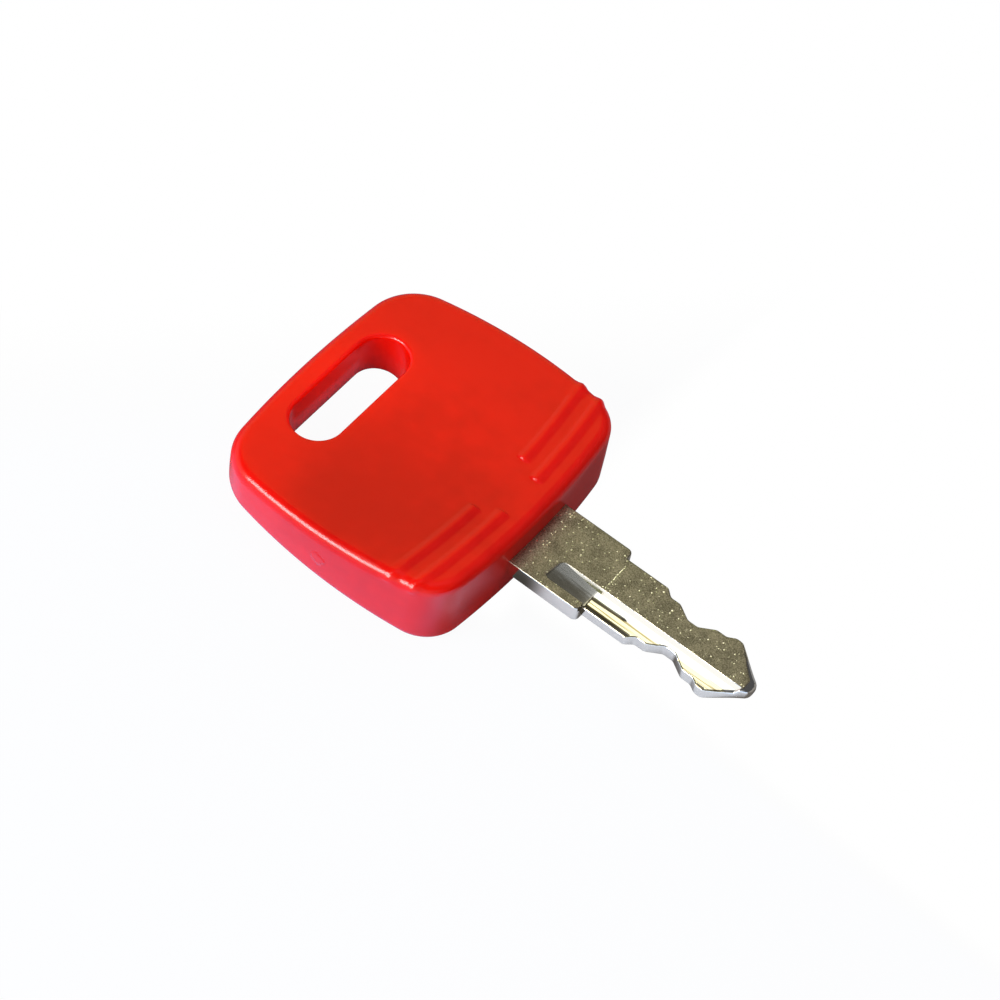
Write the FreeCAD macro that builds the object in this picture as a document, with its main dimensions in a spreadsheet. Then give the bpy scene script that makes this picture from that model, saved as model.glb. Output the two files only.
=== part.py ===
# A plant ignition key: a plated metal blade with a red plastic head moulded over its tang.
#
# Frame, in millimetres: the origin is on the blade's axis at the shoulder stop, +X runs to the tip,
# +Y across the blade and +Z square to its flat. The head fills the space behind the shoulder.

import math
import os
import re

import FreeCAD
import Part
import Sketcher

SIZES = {
    # Head, seen from above
    "head_length": 33.3,
    "head_width": 36.6,
    "widest_from_front": 16.75,
    "front_bow_radius": 108.0,
    "side_bow_radius": 65.5,
    "back_bow_radius": 130.0,
    "front_corner_radius": 5.4,
    "back_corner_radius": 6.5,
    # Head, seen from the side: a wedge that is the same above and below the blade
    "front_thickness": 10.5,
    "back_thickness": 5.5,
    "edge_round": 1.4,
    # Key-ring slot
    "slot_length": 17.2,
    "slot_width": 6.1,
    "slot_bridge": 3.35,
    "slot_round": 0.5,
    # Grip ribs, bowed like the front wall
    "rib_from_front": 3.3,
    "rib_pitch": 2.75,
    "rib_width": 1.3,
    "rib_height": 0.24,
    "rib_inner_gap": 3.1,
    "rib_inner_step": 1.4,
    "rib_side_gap": 2.3,
    # Blade blank
    "blade_thickness": 2.3,
    "shoulder_width": 10.35,
    "shoulder_length": 9.3,
    "shoulder_corner": 0.7,
    "blade_width": 7.95,
    "blade_length": 20.1,
    # Cuts, the same on both edges, placed from the tip
    "cut_from_tip": 6.7,
    "cut_pitch": 3.1,
    "cut_land": 1.3,
    "cut_ramp": 0.9,
    "cut_one_width": 6.35,
    "cut_two_width": 4.1,
    "cut_three_width": 6.35,
    "cut_round": 0.35,
    # Tip
    "crest_width": 7.5,
    "crest_length": 0.9,
    "tip_taper": 4.2,
    "nose_width": 1.5,
    "nose_round": 1.1,
    "tip_bevel": 0.6,
    # Milled groove, one on each face, run out by a disc cutter
    "groove_depth": 0.58,
    "groove_inner": 1.08,
    "groove_floor": 2.95,
    "groove_lean": 0.05,
    "groove_start": 5.3,
    "cutter_radius": 24.0,
    # Tang inside the head, with holes that the plastic fills
    "tang_length": 17.0,
    "anchor_hole": 4.0,
    "anchor_pitch": 7.5,
    "anchor_from_end": 4.5,
    # How far a cutting shape reaches past what it cuts
    "cut_margin": 1.0,
}
CUTTER_TURN = 30.0
NEAR = 1e-4

doc = FreeCAD.newDocument("ignition_key")
sheet = doc.addObject("Spreadsheet::Sheet", "sizes")
for row, (size_name, size_value) in enumerate(SIZES.items(), start=1):
    sheet.set(f"A{row}", size_name)
    sheet.set(f"B{row}", str(size_value))
    sheet.setAlias(f"B{row}", size_name)
doc.recompute()


def cells(text):
    """An expression in the sizes' own names, as one that reads the sheet's cells."""
    return re.sub(r"[a-z_]+", lambda word: f"sizes.{word[0]}" if word[0] in SIZES else word[0], text)


def number(text):
    """What an expression in the sizes' names comes to."""
    values = re.sub(r"[a-z_]+", lambda word: f"({SIZES[word[0]]})" if word[0] in SIZES else word[0], text)
    return FreeCAD.Units.Quantity(values).Value


def drive(thing, **properties):
    """Binds properties of an object to expressions in the sizes' names."""
    for name, text in properties.items():
        thing.setExpression(name, cells(text))


def feature(body, kind, name, **settings):
    """A feature of a body, with its plain settings."""
    made = body.newObject(f"PartDesign::{kind}", name)
    for setting, value in settings.items():
        setattr(made, setting, value)
    return made


def sketch_on(body, plane, name):
    """An empty sketch on one of the body's own origin planes."""
    sketch = body.newObject("Sketcher::SketchObject", name)
    support = next(part for part in body.Origin.OriginFeatures if part.Role == plane)
    sketch.AttachmentSupport = [(support, "")]
    sketch.MapMode = "FlatFace"
    return sketch


def dimension(sketch, kind, *where, size):
    """A driving dimension whose value follows an expression in the sizes' names."""
    index = sketch.addConstraint(Sketcher.Constraint(kind, *where, number(size)))
    sketch.setExpression(f"Constraints[{index}]", cells(size))


def join_ends(sketch, curves):
    """Closes a loop: each curve's end meets the start of the next."""
    for curve, following in zip(curves, curves[1:] + curves[:1]):
        sketch.addConstraint(Sketcher.Constraint("Coincident", curve, 2, following, 1))


def place_point(sketch, curve, end, x, y):
    """Fixes one end of a curve at x, y from the sketch's origin, both expressions."""
    dimension(sketch, "DistanceX", -1, 1, curve, end, size=x)
    dimension(sketch, "DistanceY", -1, 1, curve, end, size=y)


def polygon(sketch, corners):
    """A closed loop of straight lines through corners given as pairs of expressions."""
    points = [FreeCAD.Vector(number(x), number(y), 0) for x, y in corners]
    ends = points[1:] + points[:1]
    lines = [sketch.addGeometry(Part.LineSegment(a, b)) for a, b in zip(points, ends)]
    join_ends(sketch, lines)
    for line, (x, y) in zip(lines, corners):
        place_point(sketch, line, 1, x, y)


def arc(centre, radius, start, end):
    """An arc from one point to another, counter-clockwise about a centre."""
    circle = Part.Circle(centre, FreeCAD.Vector(0, 0, 1), radius)
    angles = [math.atan2(point.y - centre.y, point.x - centre.x) for point in (start, end)]
    return Part.ArcOfCircle(circle, *angles)


def edge_names(shape, wanted):
    """The names of the edges that pass a test."""
    return [f"Edge{place}" for place, edge in enumerate(shape.Edges, start=1) if wanted(edge)]


def upright_edges(shape, corners):
    """The names of the edges that stand along Z at any of the corners, given as x and y."""
    def wanted(edge):
        first, last = edge.Vertexes[0].Point, edge.Vertexes[-1].Point
        stands = abs(first.x - last.x) < NEAR and abs(first.y - last.y) < NEAR
        at_corner = any(math.hypot(first.x - x, first.y - y) < NEAR for x, y in corners)
        return stands and at_corner
    return edge_names(shape, wanted)


def rim_edges(shape, outer):
    """The names of the edges round the two broad faces: their outer rims, or the rims of their holes."""
    broad = [face for face in shape.Faces if isinstance(face.Surface, Part.Plane)]
    broad = [face for face in broad if abs(face.Surface.Axis.z) > 0.5]
    wires = [wire for face in broad for wire in face.Wires if wire.isSame(face.OuterWire) == outer]
    rims = [edge for wire in wires for edge in wire.Edges]
    return edge_names(shape, lambda edge: any(edge.isSame(rim) for rim in rims))


def round_edges(body, name, names, radius):
    """Fillets edges of the body's last feature."""
    made = feature(body, "Fillet", name, Base=(body.Tip, names))
    drive(made, Radius=radius)
    doc.recompute()


def cut_through(body, name, sketch, depth):
    """A pocket to both sides of its sketch."""
    made = feature(body, "Pocket", name, Profile=sketch, SideType="Symmetric")
    drive(made, Length=depth)
    doc.recompute()


def blade_corners():
    """The blade's outline as corners in order: the +Y edge from tang to nose, then the -Y edge back."""
    cuts = [(f"blade_length - cut_from_tip - {pitches} * cut_pitch", f"cut_{number_word}_width / 2")
            for pitches, number_word in ((2, "one"), (1, "two"), (0, "three"))]
    edge = [
        ("-shoulder_length - tang_length", "shoulder_width / 2"),
        ("0", "shoulder_width / 2"),
        ("0", "blade_width / 2"),
        (f"{cuts[0][0]} - cut_land / 2 - cut_ramp", "blade_width / 2"),
    ]
    for middle, half_width in cuts:
        edge.append((f"{middle} - cut_land / 2", half_width))
        edge.append((f"{middle} + cut_land / 2", half_width))
    edge.append(("blade_length - tip_taper - crest_length", "crest_width / 2"))
    edge.append(("blade_length - tip_taper", "crest_width / 2"))
    edge.append(("blade_length", "nose_width / 2"))
    return edge + [(x, f"-({y})") for x, y in reversed(edge)]


def make_blade():
    """The metal piece from tip to tang."""
    body = doc.addObject("PartDesign::Body", "key_blade")
    outline = sketch_on(body, "XY_Plane", "blade_outline")
    corners = blade_corners()
    polygon(outline, corners)
    blank = feature(body, "Pad", "blade_blank", Profile=outline, SideType="Symmetric")
    drive(blank, Length="blade_thickness")
    doc.recompute()

    places = [(number(x), number(y)) for x, y in corners]
    stop_corners = [(x, y) for x, y in places if abs(x) < NEAR and abs(y) > number("blade_width / 2") + NEAR]
    taper_x = number("blade_length - tip_taper")
    cut_corners = [(x, y) for x, y in places if NEAR < x < taper_x - NEAR]
    nose_corners = [(x, y) for x, y in places if abs(x - number("blade_length")) < NEAR]
    round_edges(body, "shoulder_rounding", upright_edges(blank.Shape, stop_corners), "shoulder_corner")
    round_edges(body, "cut_rounding", upright_edges(body.Tip.Shape, cut_corners), "cut_round")
    round_edges(body, "nose_rounding", upright_edges(body.Tip.Shape, nose_corners), "nose_round")
    bevel_tip(body)
    drill_tang(body)
    mill_grooves(body)
    return body


def bevel_tip(body):
    """Bevels the nose and the two tapers behind it, on both faces, so that the key finds its way in."""
    taper_middle = number("blade_length - tip_taper / 2")

    def on_tip(edge):
        lies_level = abs(edge.Vertexes[0].Point.z - edge.Vertexes[-1].Point.z) < NEAR
        return lies_level and edge.CenterOfMass.x > taper_middle - NEAR
    bevel = feature(body, "Chamfer", "tip_bevels", Base=(body.Tip, edge_names(body.Tip.Shape, on_tip)))
    drive(bevel, Size="tip_bevel")
    doc.recompute()


def drill_tang(body):
    """The anchor holes through the tang."""
    sketch = sketch_on(body, "XY_Plane", "anchor_circles")
    for place in range(2):
        x = f"anchor_from_end + {place} * anchor_pitch - shoulder_length - tang_length"
        centre = FreeCAD.Vector(number(x), 0, 0)
        hole = sketch.addGeometry(Part.Circle(centre, FreeCAD.Vector(0, 0, 1), number("anchor_hole / 2")))
        dimension(sketch, "Diameter", hole, size="anchor_hole")
        dimension(sketch, "DistanceX", -1, 1, hole, 3, size=x)
        sketch.addConstraint(Sketcher.Constraint("PointOnObject", hole, 3, -1))
    cut_through(body, "anchor_holes", sketch, "blade_thickness + 2 * cut_margin")


def mill_grooves(body):
    """A leaning-walled groove along each face. Its sketch has its origin on the disc cutter's own axis,
    where the cutter has just reached full depth: ahead of it the groove is straight, behind it runs out."""
    sketch = sketch_on(body, "YZ_Plane", "groove_section")
    run_out = "sqrt(2 * cutter_radius * groove_depth - groove_depth ^ 2)"
    drive(sketch, **{
        "AttachmentOffset.Base.y": "blade_thickness / 2 - groove_depth + cutter_radius",
        "AttachmentOffset.Base.z": f"{run_out} - groove_start",
    })
    spread = "groove_lean * (1 + cut_margin / groove_depth)"
    polygon(sketch, [
        ("-groove_inner", "-cutter_radius"),
        (f"-groove_inner + {spread}", "groove_depth + cut_margin - cutter_radius"),
        (f"-groove_inner - groove_floor - {spread}", "groove_depth + cut_margin - cutter_radius"),
        ("-groove_inner - groove_floor", "-cutter_radius"),
    ])
    doc.recompute()
    straight = feature(body, "Pocket", "groove_straight", Profile=sketch, Reversed=True)
    drive(straight, Length=f"blade_length + groove_start - {run_out} + cut_margin")
    doc.recompute()
    ramp = feature(body, "Groove", "groove_run_out", Profile=sketch, Angle=CUTTER_TURN)
    ramp.ReferenceAxis = (sketch, ["H_Axis"])
    doc.recompute()
    pattern = feature(body, "PolarPattern", "both_grooves", Originals=[straight, ramp], Occurrences=2)
    axis = next(part for part in body.Origin.OriginFeatures if part.Role == "X_Axis")
    pattern.Axis = (axis, [""])
    body.Tip = pattern
    doc.recompute()


def head_outline(body):
    """The head from above, before its corners are rounded: a bowed front, sides and back."""
    sketch = sketch_on(body, "XY_Plane", "head_outline")
    bow, side = number("front_bow_radius"), number("side_bow_radius")
    front_centre = FreeCAD.Vector(-number("shoulder_length + front_bow_radius"), 0, 0)
    side_x = -number("shoulder_length + widest_from_front")
    side_y = number("side_bow_radius - head_width / 2")
    left_centre = FreeCAD.Vector(side_x, -side_y, 0)
    right_centre = FreeCAD.Vector(side_x, side_y, 0)
    back_bow = number("back_bow_radius")
    back_centre = FreeCAD.Vector(number("back_bow_radius - shoulder_length - head_length"), 0, 0)
    front_left = circles_meet(front_centre, bow, left_centre, side)
    back_left = circles_meet(back_centre, back_bow, left_centre, side)
    front_right = FreeCAD.Vector(front_left.x, -front_left.y, 0)
    back_right = FreeCAD.Vector(back_left.x, -back_left.y, 0)
    front = sketch.addGeometry(arc(front_centre, bow, front_right, front_left))
    left = sketch.addGeometry(arc(left_centre, side, front_left, back_left))
    back = sketch.addGeometry(arc(back_centre, back_bow, back_left, back_right))
    right = sketch.addGeometry(arc(right_centre, side, back_right, front_right))
    join_ends(sketch, [front, left, back, right])
    sketch.addConstraint(Sketcher.Constraint("PointOnObject", front, 3, -1))
    sketch.addConstraint(Sketcher.Constraint("Symmetric", left, 3, right, 3, -1))
    sketch.addConstraint(Sketcher.Constraint("Equal", left, right))
    sketch.addConstraint(Sketcher.Constraint("PointOnObject", back, 3, -1))
    dimension(sketch, "Radius", front, size="front_bow_radius")
    dimension(sketch, "Radius", left, size="side_bow_radius")
    dimension(sketch, "DistanceX", front, 3, -1, 1, size="shoulder_length + front_bow_radius")
    dimension(sketch, "DistanceX", left, 3, -1, 1, size="shoulder_length + widest_from_front")
    dimension(sketch, "DistanceY", left, 3, -1, 1, size="side_bow_radius - head_width / 2")
    dimension(sketch, "Radius", back, size="back_bow_radius")
    dimension(sketch, "DistanceX", -1, 1, back, 3, size="back_bow_radius - shoulder_length - head_length")
    corners = {"front": [front_left, front_right], "back": [back_left, back_right]}
    return sketch, {end: [(point.x, point.y) for point in points] for end, points in corners.items()}


def circles_meet(first, first_radius, second, second_radius):
    """Where two circles cross, on the +Y side."""
    apart = second - first
    along = (apart.Length ** 2 + first_radius ** 2 - second_radius ** 2) / (2 * apart.Length)
    across = math.sqrt(first_radius ** 2 - along ** 2)
    way = FreeCAD.Vector(apart).normalize()
    square = FreeCAD.Vector(-way.y, way.x, 0)
    crossings = [first + way * along + square * across, first + way * along - square * across]
    return max(crossings, key=lambda point: point.y)


def slot_outline(body):
    """The key-ring slot: straight sides across the head, and round ends."""
    sketch = sketch_on(body, "XY_Plane", "slot_outline")
    half = number("slot_width / 2")
    reach = number("(slot_length - slot_width) / 2")
    middle = number("slot_bridge + slot_width / 2 - shoulder_length - head_length")
    left_centre = FreeCAD.Vector(middle, reach, 0)
    right_centre = FreeCAD.Vector(middle, -reach, 0)
    step = FreeCAD.Vector(half, 0, 0)
    left = sketch.addGeometry(arc(left_centre, half, left_centre + step, left_centre - step))
    back = sketch.addGeometry(Part.LineSegment(left_centre - step, right_centre - step))
    right = sketch.addGeometry(arc(right_centre, half, right_centre - step, right_centre + step))
    front = sketch.addGeometry(Part.LineSegment(right_centre + step, left_centre + step))
    curves = [left, back, right, front]
    for curve, following in zip(curves, curves[1:] + curves[:1]):
        sketch.addConstraint(Sketcher.Constraint("Tangent", curve, 2, following, 1))
    sketch.addConstraint(Sketcher.Constraint("Symmetric", left, 3, right, 3, -1))
    sketch.addConstraint(Sketcher.Constraint("Equal", left, right))
    dimension(sketch, "Radius", left, size="slot_width / 2")
    dimension(sketch, "DistanceX", left, 3, -1, 1,
              size="shoulder_length + head_length - slot_bridge - slot_width / 2")
    dimension(sketch, "DistanceY", -1, 1, left, 3, size="(slot_length - slot_width) / 2")
    return sketch


def wedge_outline(body):
    """What is cut off above and below to make the head a wedge, seen from the side."""
    sketch = sketch_on(body, "XZ_Plane", "wedge_outline")
    reach = "(head_length + cut_margin)"
    drop = f"(front_thickness - back_thickness) / 2 * {reach} / head_length"
    front, back = "-shoulder_length", f"-shoulder_length - {reach}"
    for sign in ("", "-"):
        polygon(sketch, [
            (front, f"{sign}(front_thickness / 2)"),
            (back, f"{sign}(front_thickness / 2 - {drop})"),
            (back, f"{sign}(front_thickness / 2 + cut_margin)"),
            (front, f"{sign}(front_thickness / 2 + cut_margin)"),
        ])
    return sketch


def make_moulding():
    """The head's plain moulding, before its ribs and the space for the tang."""
    body = doc.addObject("PartDesign::Body", "head_moulding")
    outline, corners = head_outline(body)
    block = feature(body, "Pad", "head_block", Profile=outline, SideType="Symmetric")
    drive(block, Length="front_thickness")
    doc.recompute()
    round_edges(body, "front_corners", upright_edges(block.Shape, corners["front"]), "front_corner_radius")
    round_edges(body, "back_corners", upright_edges(body.Tip.Shape, corners["back"]), "back_corner_radius")
    cut_through(body, "wedge", wedge_outline(body), "head_width + 2 * cut_margin")
    cut_through(body, "key_ring_slot", slot_outline(body), "front_thickness + 2 * cut_margin")
    round_edges(body, "outer_rounding", rim_edges(body.Tip.Shape, True), "edge_round")
    round_edges(body, "slot_rounding", rim_edges(body.Tip.Shape, False), "slot_round")
    return body


def make_rib(name, row, side):
    """One grip rib: a round bar bowed like the front wall, sunk into the upper face until only its crest
    stands out, with a ball at each end."""
    slope = "(front_thickness - back_thickness) / 2 / head_length"
    tilt = f"atan({slope})"
    bar_radius = "(rib_width ^ 2 / 4 + rib_height ^ 2) / (2 * rib_height)"
    sink = f"(rib_height - {bar_radius})"
    bow = f"(front_bow_radius - rib_from_front - {row} * rib_pitch) / cos({tilt})"
    inner = f"asin((rib_inner_gap + {row} * rib_inner_step) / ({bow}))"
    outer = f"asin((head_width / 2 - rib_side_gap) / ({bow}))"
    start = inner if side > 0 else f"-{outer}"
    centre_x = f"-shoulder_length - front_bow_radius - {sink} * sin({tilt})"
    centre_z = f"front_thickness / 2 - front_bow_radius * {slope} + {sink} * cos({tilt})"
    lean = f"rotation(vector(0; 1; 0); -{tilt}) * rotation(vector(0; 0; 1); {start})"
    bar = doc.addObject("Part::Torus", name)
    drive(
        bar,
        Radius1=bow,
        Radius2=bar_radius,
        Angle3=f"{outer} - {inner}",
        Placement=f"placement(vector({centre_x}; 0; {centre_z}); {lean})",
    )
    ends = []
    for end, angle in (("start", "0"), ("stop", f"{name}.Angle3")):
        ball = doc.addObject("Part::Sphere", f"{name}_{end}")
        reach = f"{name}.Radius1"
        place = f"vector({reach} * cos({angle}); {reach} * sin({angle}); 0)"
        ball.setExpression("Placement", f"{name}.Placement * placement({place}; rotation(vector(0; 0; 1); 0))")
        ball.setExpression("Radius", f"{name}.Radius2")
        ends.append(ball)
    return [bar, *ends]


def make_head(blade):
    """The finished head: the moulding with its ribs, less the space that the blade's tang fills."""
    ribs = []
    for hand, side in (("left", 1), ("right", -1)):
        for row in range(2):
            ribs += make_rib(f"rib_{hand}_{'ab'[row]}", row, side)
    ribbed = doc.addObject("Part::MultiFuse", "ribbed_moulding")
    ribbed.Shapes = [make_moulding(), *ribs]
    head = doc.addObject("Part::Cut", "grip_head")
    head.Base = ribbed
    head.Tool = blade
    doc.recompute()
    return head


def check(pieces):
    """Stops if anything in the document failed, or a piece isn't one sound solid."""
    failed = [thing.Name for thing in doc.Objects if {"Invalid", "Error"} & set(thing.State)]
    if failed:
        raise RuntimeError(f"these did not build: {failed}")
    for piece in pieces:
        if piece.Shape.isNull() or not piece.Shape.isValid() or len(piece.Shape.Solids) != 1:
            raise RuntimeError(f"{piece.Label} is not one sound solid")


key_blade = make_blade()
grip_head = make_head(key_blade)
check([key_blade, grip_head])
os.makedirs("parts", exist_ok=True)
for sub_part in (key_blade, grip_head):
    sub_part.Shape.Solids[0].exportStep(f"parts/{sub_part.Label}.step")
    print(sub_part.Label, round(sub_part.Shape.Volume, 2), "mm3")
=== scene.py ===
import math

import bmesh
import bpy
import numpy as np
from mathutils import Matrix, Vector


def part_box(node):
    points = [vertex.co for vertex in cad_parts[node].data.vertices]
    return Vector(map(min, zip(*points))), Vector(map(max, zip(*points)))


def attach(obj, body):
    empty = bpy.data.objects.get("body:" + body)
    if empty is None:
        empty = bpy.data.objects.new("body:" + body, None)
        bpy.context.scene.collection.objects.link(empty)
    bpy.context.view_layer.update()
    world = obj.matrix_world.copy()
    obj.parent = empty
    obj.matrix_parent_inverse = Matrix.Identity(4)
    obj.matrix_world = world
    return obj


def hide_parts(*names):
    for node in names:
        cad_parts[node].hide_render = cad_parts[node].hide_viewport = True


# Plant ignition key: red moulded head on a plated, double-sided blade.
# Shapes are worked out in millimetres and put into the meshes in metres.
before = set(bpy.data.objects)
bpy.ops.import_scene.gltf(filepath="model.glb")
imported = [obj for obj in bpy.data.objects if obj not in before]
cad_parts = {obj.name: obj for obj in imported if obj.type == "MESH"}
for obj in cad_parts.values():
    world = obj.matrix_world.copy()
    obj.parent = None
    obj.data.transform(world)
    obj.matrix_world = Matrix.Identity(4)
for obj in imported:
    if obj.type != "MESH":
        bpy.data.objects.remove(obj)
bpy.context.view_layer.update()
mm = 0.001
weldGap = 0.0005  # points closer than this are joined
print("frame loaded:", ", ".join(sorted(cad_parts)))


def smoothStep(low, high, value):
    # 0 at low, 1 at high, and an S-shaped cubic between them; low may be the larger one
    part = np.clip((value - low) / (high - low), 0.0, 1.0)
    return part * part * (3.0 - 2.0 * part)


def spread(*stretches):
    # joins evenly spaced stretches, each given as (start, stop, count), without their last points
    parts = [np.linspace(start, stop, count, endpoint=False) for start, stop, count in stretches]
    return np.concatenate(parts)


def meshFromRings(name, rings, joined=False, sharpAngle=None):
    # ring r joins ring r + 1 place by place, and each ring closes on itself;
    # joined rings close into a torus, and others get a flat face on the first and last ring
    ringCount, placeCount = rings.shape[:2]
    here = np.arange(ringCount * placeCount).reshape(ringCount, placeCount)
    beside = np.roll(here, -1, axis=1)
    quads = np.stack([here, beside, np.roll(beside, -1, axis=0), np.roll(here, -1, axis=0)], axis=-1)
    faces = (quads if joined else quads[:-1]).reshape(-1, 4).tolist()
    if not joined:
        faces += [here[0][::-1].tolist(), here[-1].tolist()]
    mesh = bpy.data.meshes.new(name)
    mesh.from_pydata((rings.reshape(-1, 3) * mm).tolist(), [], faces)
    work = bmesh.new()
    work.from_mesh(mesh)
    bmesh.ops.remove_doubles(work, verts=work.verts, dist=weldGap * mm)
    bmesh.ops.recalc_face_normals(work, faces=work.faces)
    work.to_mesh(mesh)
    work.free()
    mesh.shade_smooth()
    if sharpAngle is not None:
        mesh.set_sharp_from_angle(angle=math.radians(sharpAngle))
    piece = bpy.data.objects.new(name, mesh)
    bpy.context.scene.collection.objects.link(piece)
    print(name, "faces:", len(mesh.polygons))
    return piece


# Head

headLow, headHigh = (np.array(corner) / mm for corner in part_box("grip_head"))
headShape = {
    "widestFromFront": 16.75,
    "frontBow": 108.0,          # radii of the bowed walls
    "sideBow": 65.5,
    "backBow": 130.0,
    "frontCorner": 5.4,
    "backCorner": 6.5,
    "frontThickness": 10.5,
    "backThickness": 5.5,
    "edgeRound": 1.4,
    "draft": 0.03,              # how far the wall leans in, from the parting line to the edge
    "slotLength": 17.2,
    "slotWidth": 6.1,
    "slotBridge": 3.35,         # plastic left behind the slot
    "slotRound": (0.5, 0.15),   # of its upper and lower edges
    "slotDraft": 0.10,          # how far its wall opens out, from half height to the edge
    "slotFan": 0.7,             # how far the grid is drawn together along the slot
    "bowPoints": (44, 40, 24),  # along the front: outside the ribs' inner ends, past them, between them
    "cornerPoints": (36, 30),   # front and back
    "sidePoints": 44,
    "backPoints": 24,
    "slotRings": (5, 9),        # up the slot's wall, and over its rounding
    "faceRings": (16, 52),      # over the plain part of the face, and the ribbed part
    "ribbedFrom": 0.64,         # share of the way from the slot to the edge where the ribbed part starts
    "edgeRings": 12,
    "wallRings": 6,
}
ribShape = {
    "fromFront": (3.3, 6.05),   # front row and rear row, behind the front wall
    "innerEnd": (3.1, 4.5),     # where each row stops beside the axis
    "halfWidth": 1.0,
    "height": 0.27,
    "endSteepness": 2.1,        # how much steeper the inner ends are than the flanks
    "endPoints": (0.5, 1.1),    # points stand closer from inside the inner ends to outside them
    "panelDrop": 0.02,          # the plain panel between the ribs lies this much lower
    "panelBack": (0.6, -0.4),   # its soft edge at the rear row, where it starts and where it is full
    "panelSide": (0.5, -0.8),   # and at the rear row's inner end
    "leastRise": 0.001,         # what is lower counts as plain face
    "overEdge": (0.05, 0.5),    # cosines of the turn over the outer rounding where the ribs end and are full
}


def circlesMeet(first, firstRadius, second, secondRadius):
    # where two circles cross, on the +Y side: along the line through their centres, then square to it
    gap = math.dist(first, second)
    along = (gap ** 2 + firstRadius ** 2 - secondRadius ** 2) / (2 * gap)
    across = math.sqrt(firstRadius ** 2 - along ** 2)
    wayX, wayY = (second[0] - first[0]) / gap, (second[1] - first[1]) / gap
    middleX, middleY = first[0] + along * wayX, first[1] + along * wayY
    crossings = [(middleX - turn * wayY, middleY + turn * wayX) for turn in (across, -across)]
    return max(crossings, key=lambda point: point[1])


def headOutline(shape, ribs, frontX, backX, halfWidth):
    # closed outline from above with its outward normals, counter-clockwise from the -Y end of the front:
    # front, sides and back are bows, and each corner is an arc tangent inside its two bows;
    # points stand closer where the ribs end
    bow, side, backBow = shape["frontBow"], shape["sideBow"], shape["backBow"]
    frontCorner, backCorner = shape["frontCorner"], shape["backCorner"]
    front, back = (frontX - bow, 0.0), (backX + backBow, 0.0)
    left = (frontX - shape["widestFromFront"], halfWidth - side)
    near = circlesMeet(front, bow - frontCorner, left, side - frontCorner)
    far = circlesMeet(back, backBow - backCorner, left, side - backCorner)

    def turnTo(centre, corner):
        return math.atan2(corner[1] - centre[1], corner[0] - centre[0])

    def mirrored(centre):
        return centre[0], -centre[1]

    bowEnd, sideStart = turnTo(front, near), turnTo(left, near)
    sideEnd, backStart = turnTo(left, far), turnTo(back, far)
    inside, outside = ribs["endPoints"]
    ribStart, ribStop = (ribs["innerEnd"][0] - inside) / bow, (ribs["innerEnd"][1] + outside) / bow
    outerPoints, endPoints, middlePoints = shape["bowPoints"]
    frontPoints, backPoints = shape["cornerPoints"]
    sidePoints = shape["sidePoints"]
    full = 2 * math.pi
    frontTurns = spread((-bowEnd, -ribStop, outerPoints), (-ribStop, -ribStart, endPoints),
                        (-ribStart, ribStart, middlePoints),
                        (ribStart, ribStop, endPoints), (ribStop, bowEnd, outerPoints))
    arcs = [
        (front, bow, frontTurns),
        (near, frontCorner, spread((bowEnd, sideStart, frontPoints))),
        (left, side, spread((sideStart, sideEnd, sidePoints))),
        (far, backCorner, spread((sideEnd, backStart, backPoints))),
        (back, backBow, spread((backStart, full - backStart, shape["backPoints"]))),
        (mirrored(far), backCorner, spread((full - backStart, full - sideEnd, backPoints))),
        (mirrored(left), side, spread((full - sideEnd, full - sideStart, sidePoints))),
        (mirrored(near), frontCorner, spread((full - sideStart, full - bowEnd, frontPoints))),
    ]
    normals = [np.stack([np.cos(turns), np.sin(turns)], axis=-1) for _, _, turns in arcs]
    points = [np.array(centre) + radius * way for (centre, radius, _), way in zip(arcs, normals)]
    return np.concatenate(points), np.concatenate(normals)


def ribRise(shape, ribs, frontX, x, y):
    # height over the plain face: each rib is a bump with a cosine section, on a circle concentric with
    # the front bow, with a steep round inner end; the panel between the inner ends is sunk by a soft step
    behind = shape["frontBow"] - np.hypot(x - frontX + shape["frontBow"], y)
    rise = np.zeros_like(x)
    for fromFront, innerEnd in zip(ribs["fromFront"], ribs["innerEnd"]):
        inward = np.maximum(innerEnd - np.abs(y), 0.0) * ribs["endSteepness"]
        away = np.minimum(np.hypot(behind - fromFront, inward) / ribs["halfWidth"], 1.0)
        rise = np.maximum(rise, ribs["height"] * 0.5 * (1.0 + np.cos(math.pi * away)))
    rearRow, rearEnd = ribs["fromFront"][1], ribs["innerEnd"][1]
    backStart, backFull = ribs["panelBack"]
    sideStart, sideFull = ribs["panelSide"]
    panel = (smoothStep(rearRow + backStart, rearRow + backFull, behind)
             * smoothStep(rearEnd + sideStart, rearEnd + sideFull, np.abs(y)))
    return rise - ribs["panelDrop"] * panel * (rise < ribs["leastRise"])


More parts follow.
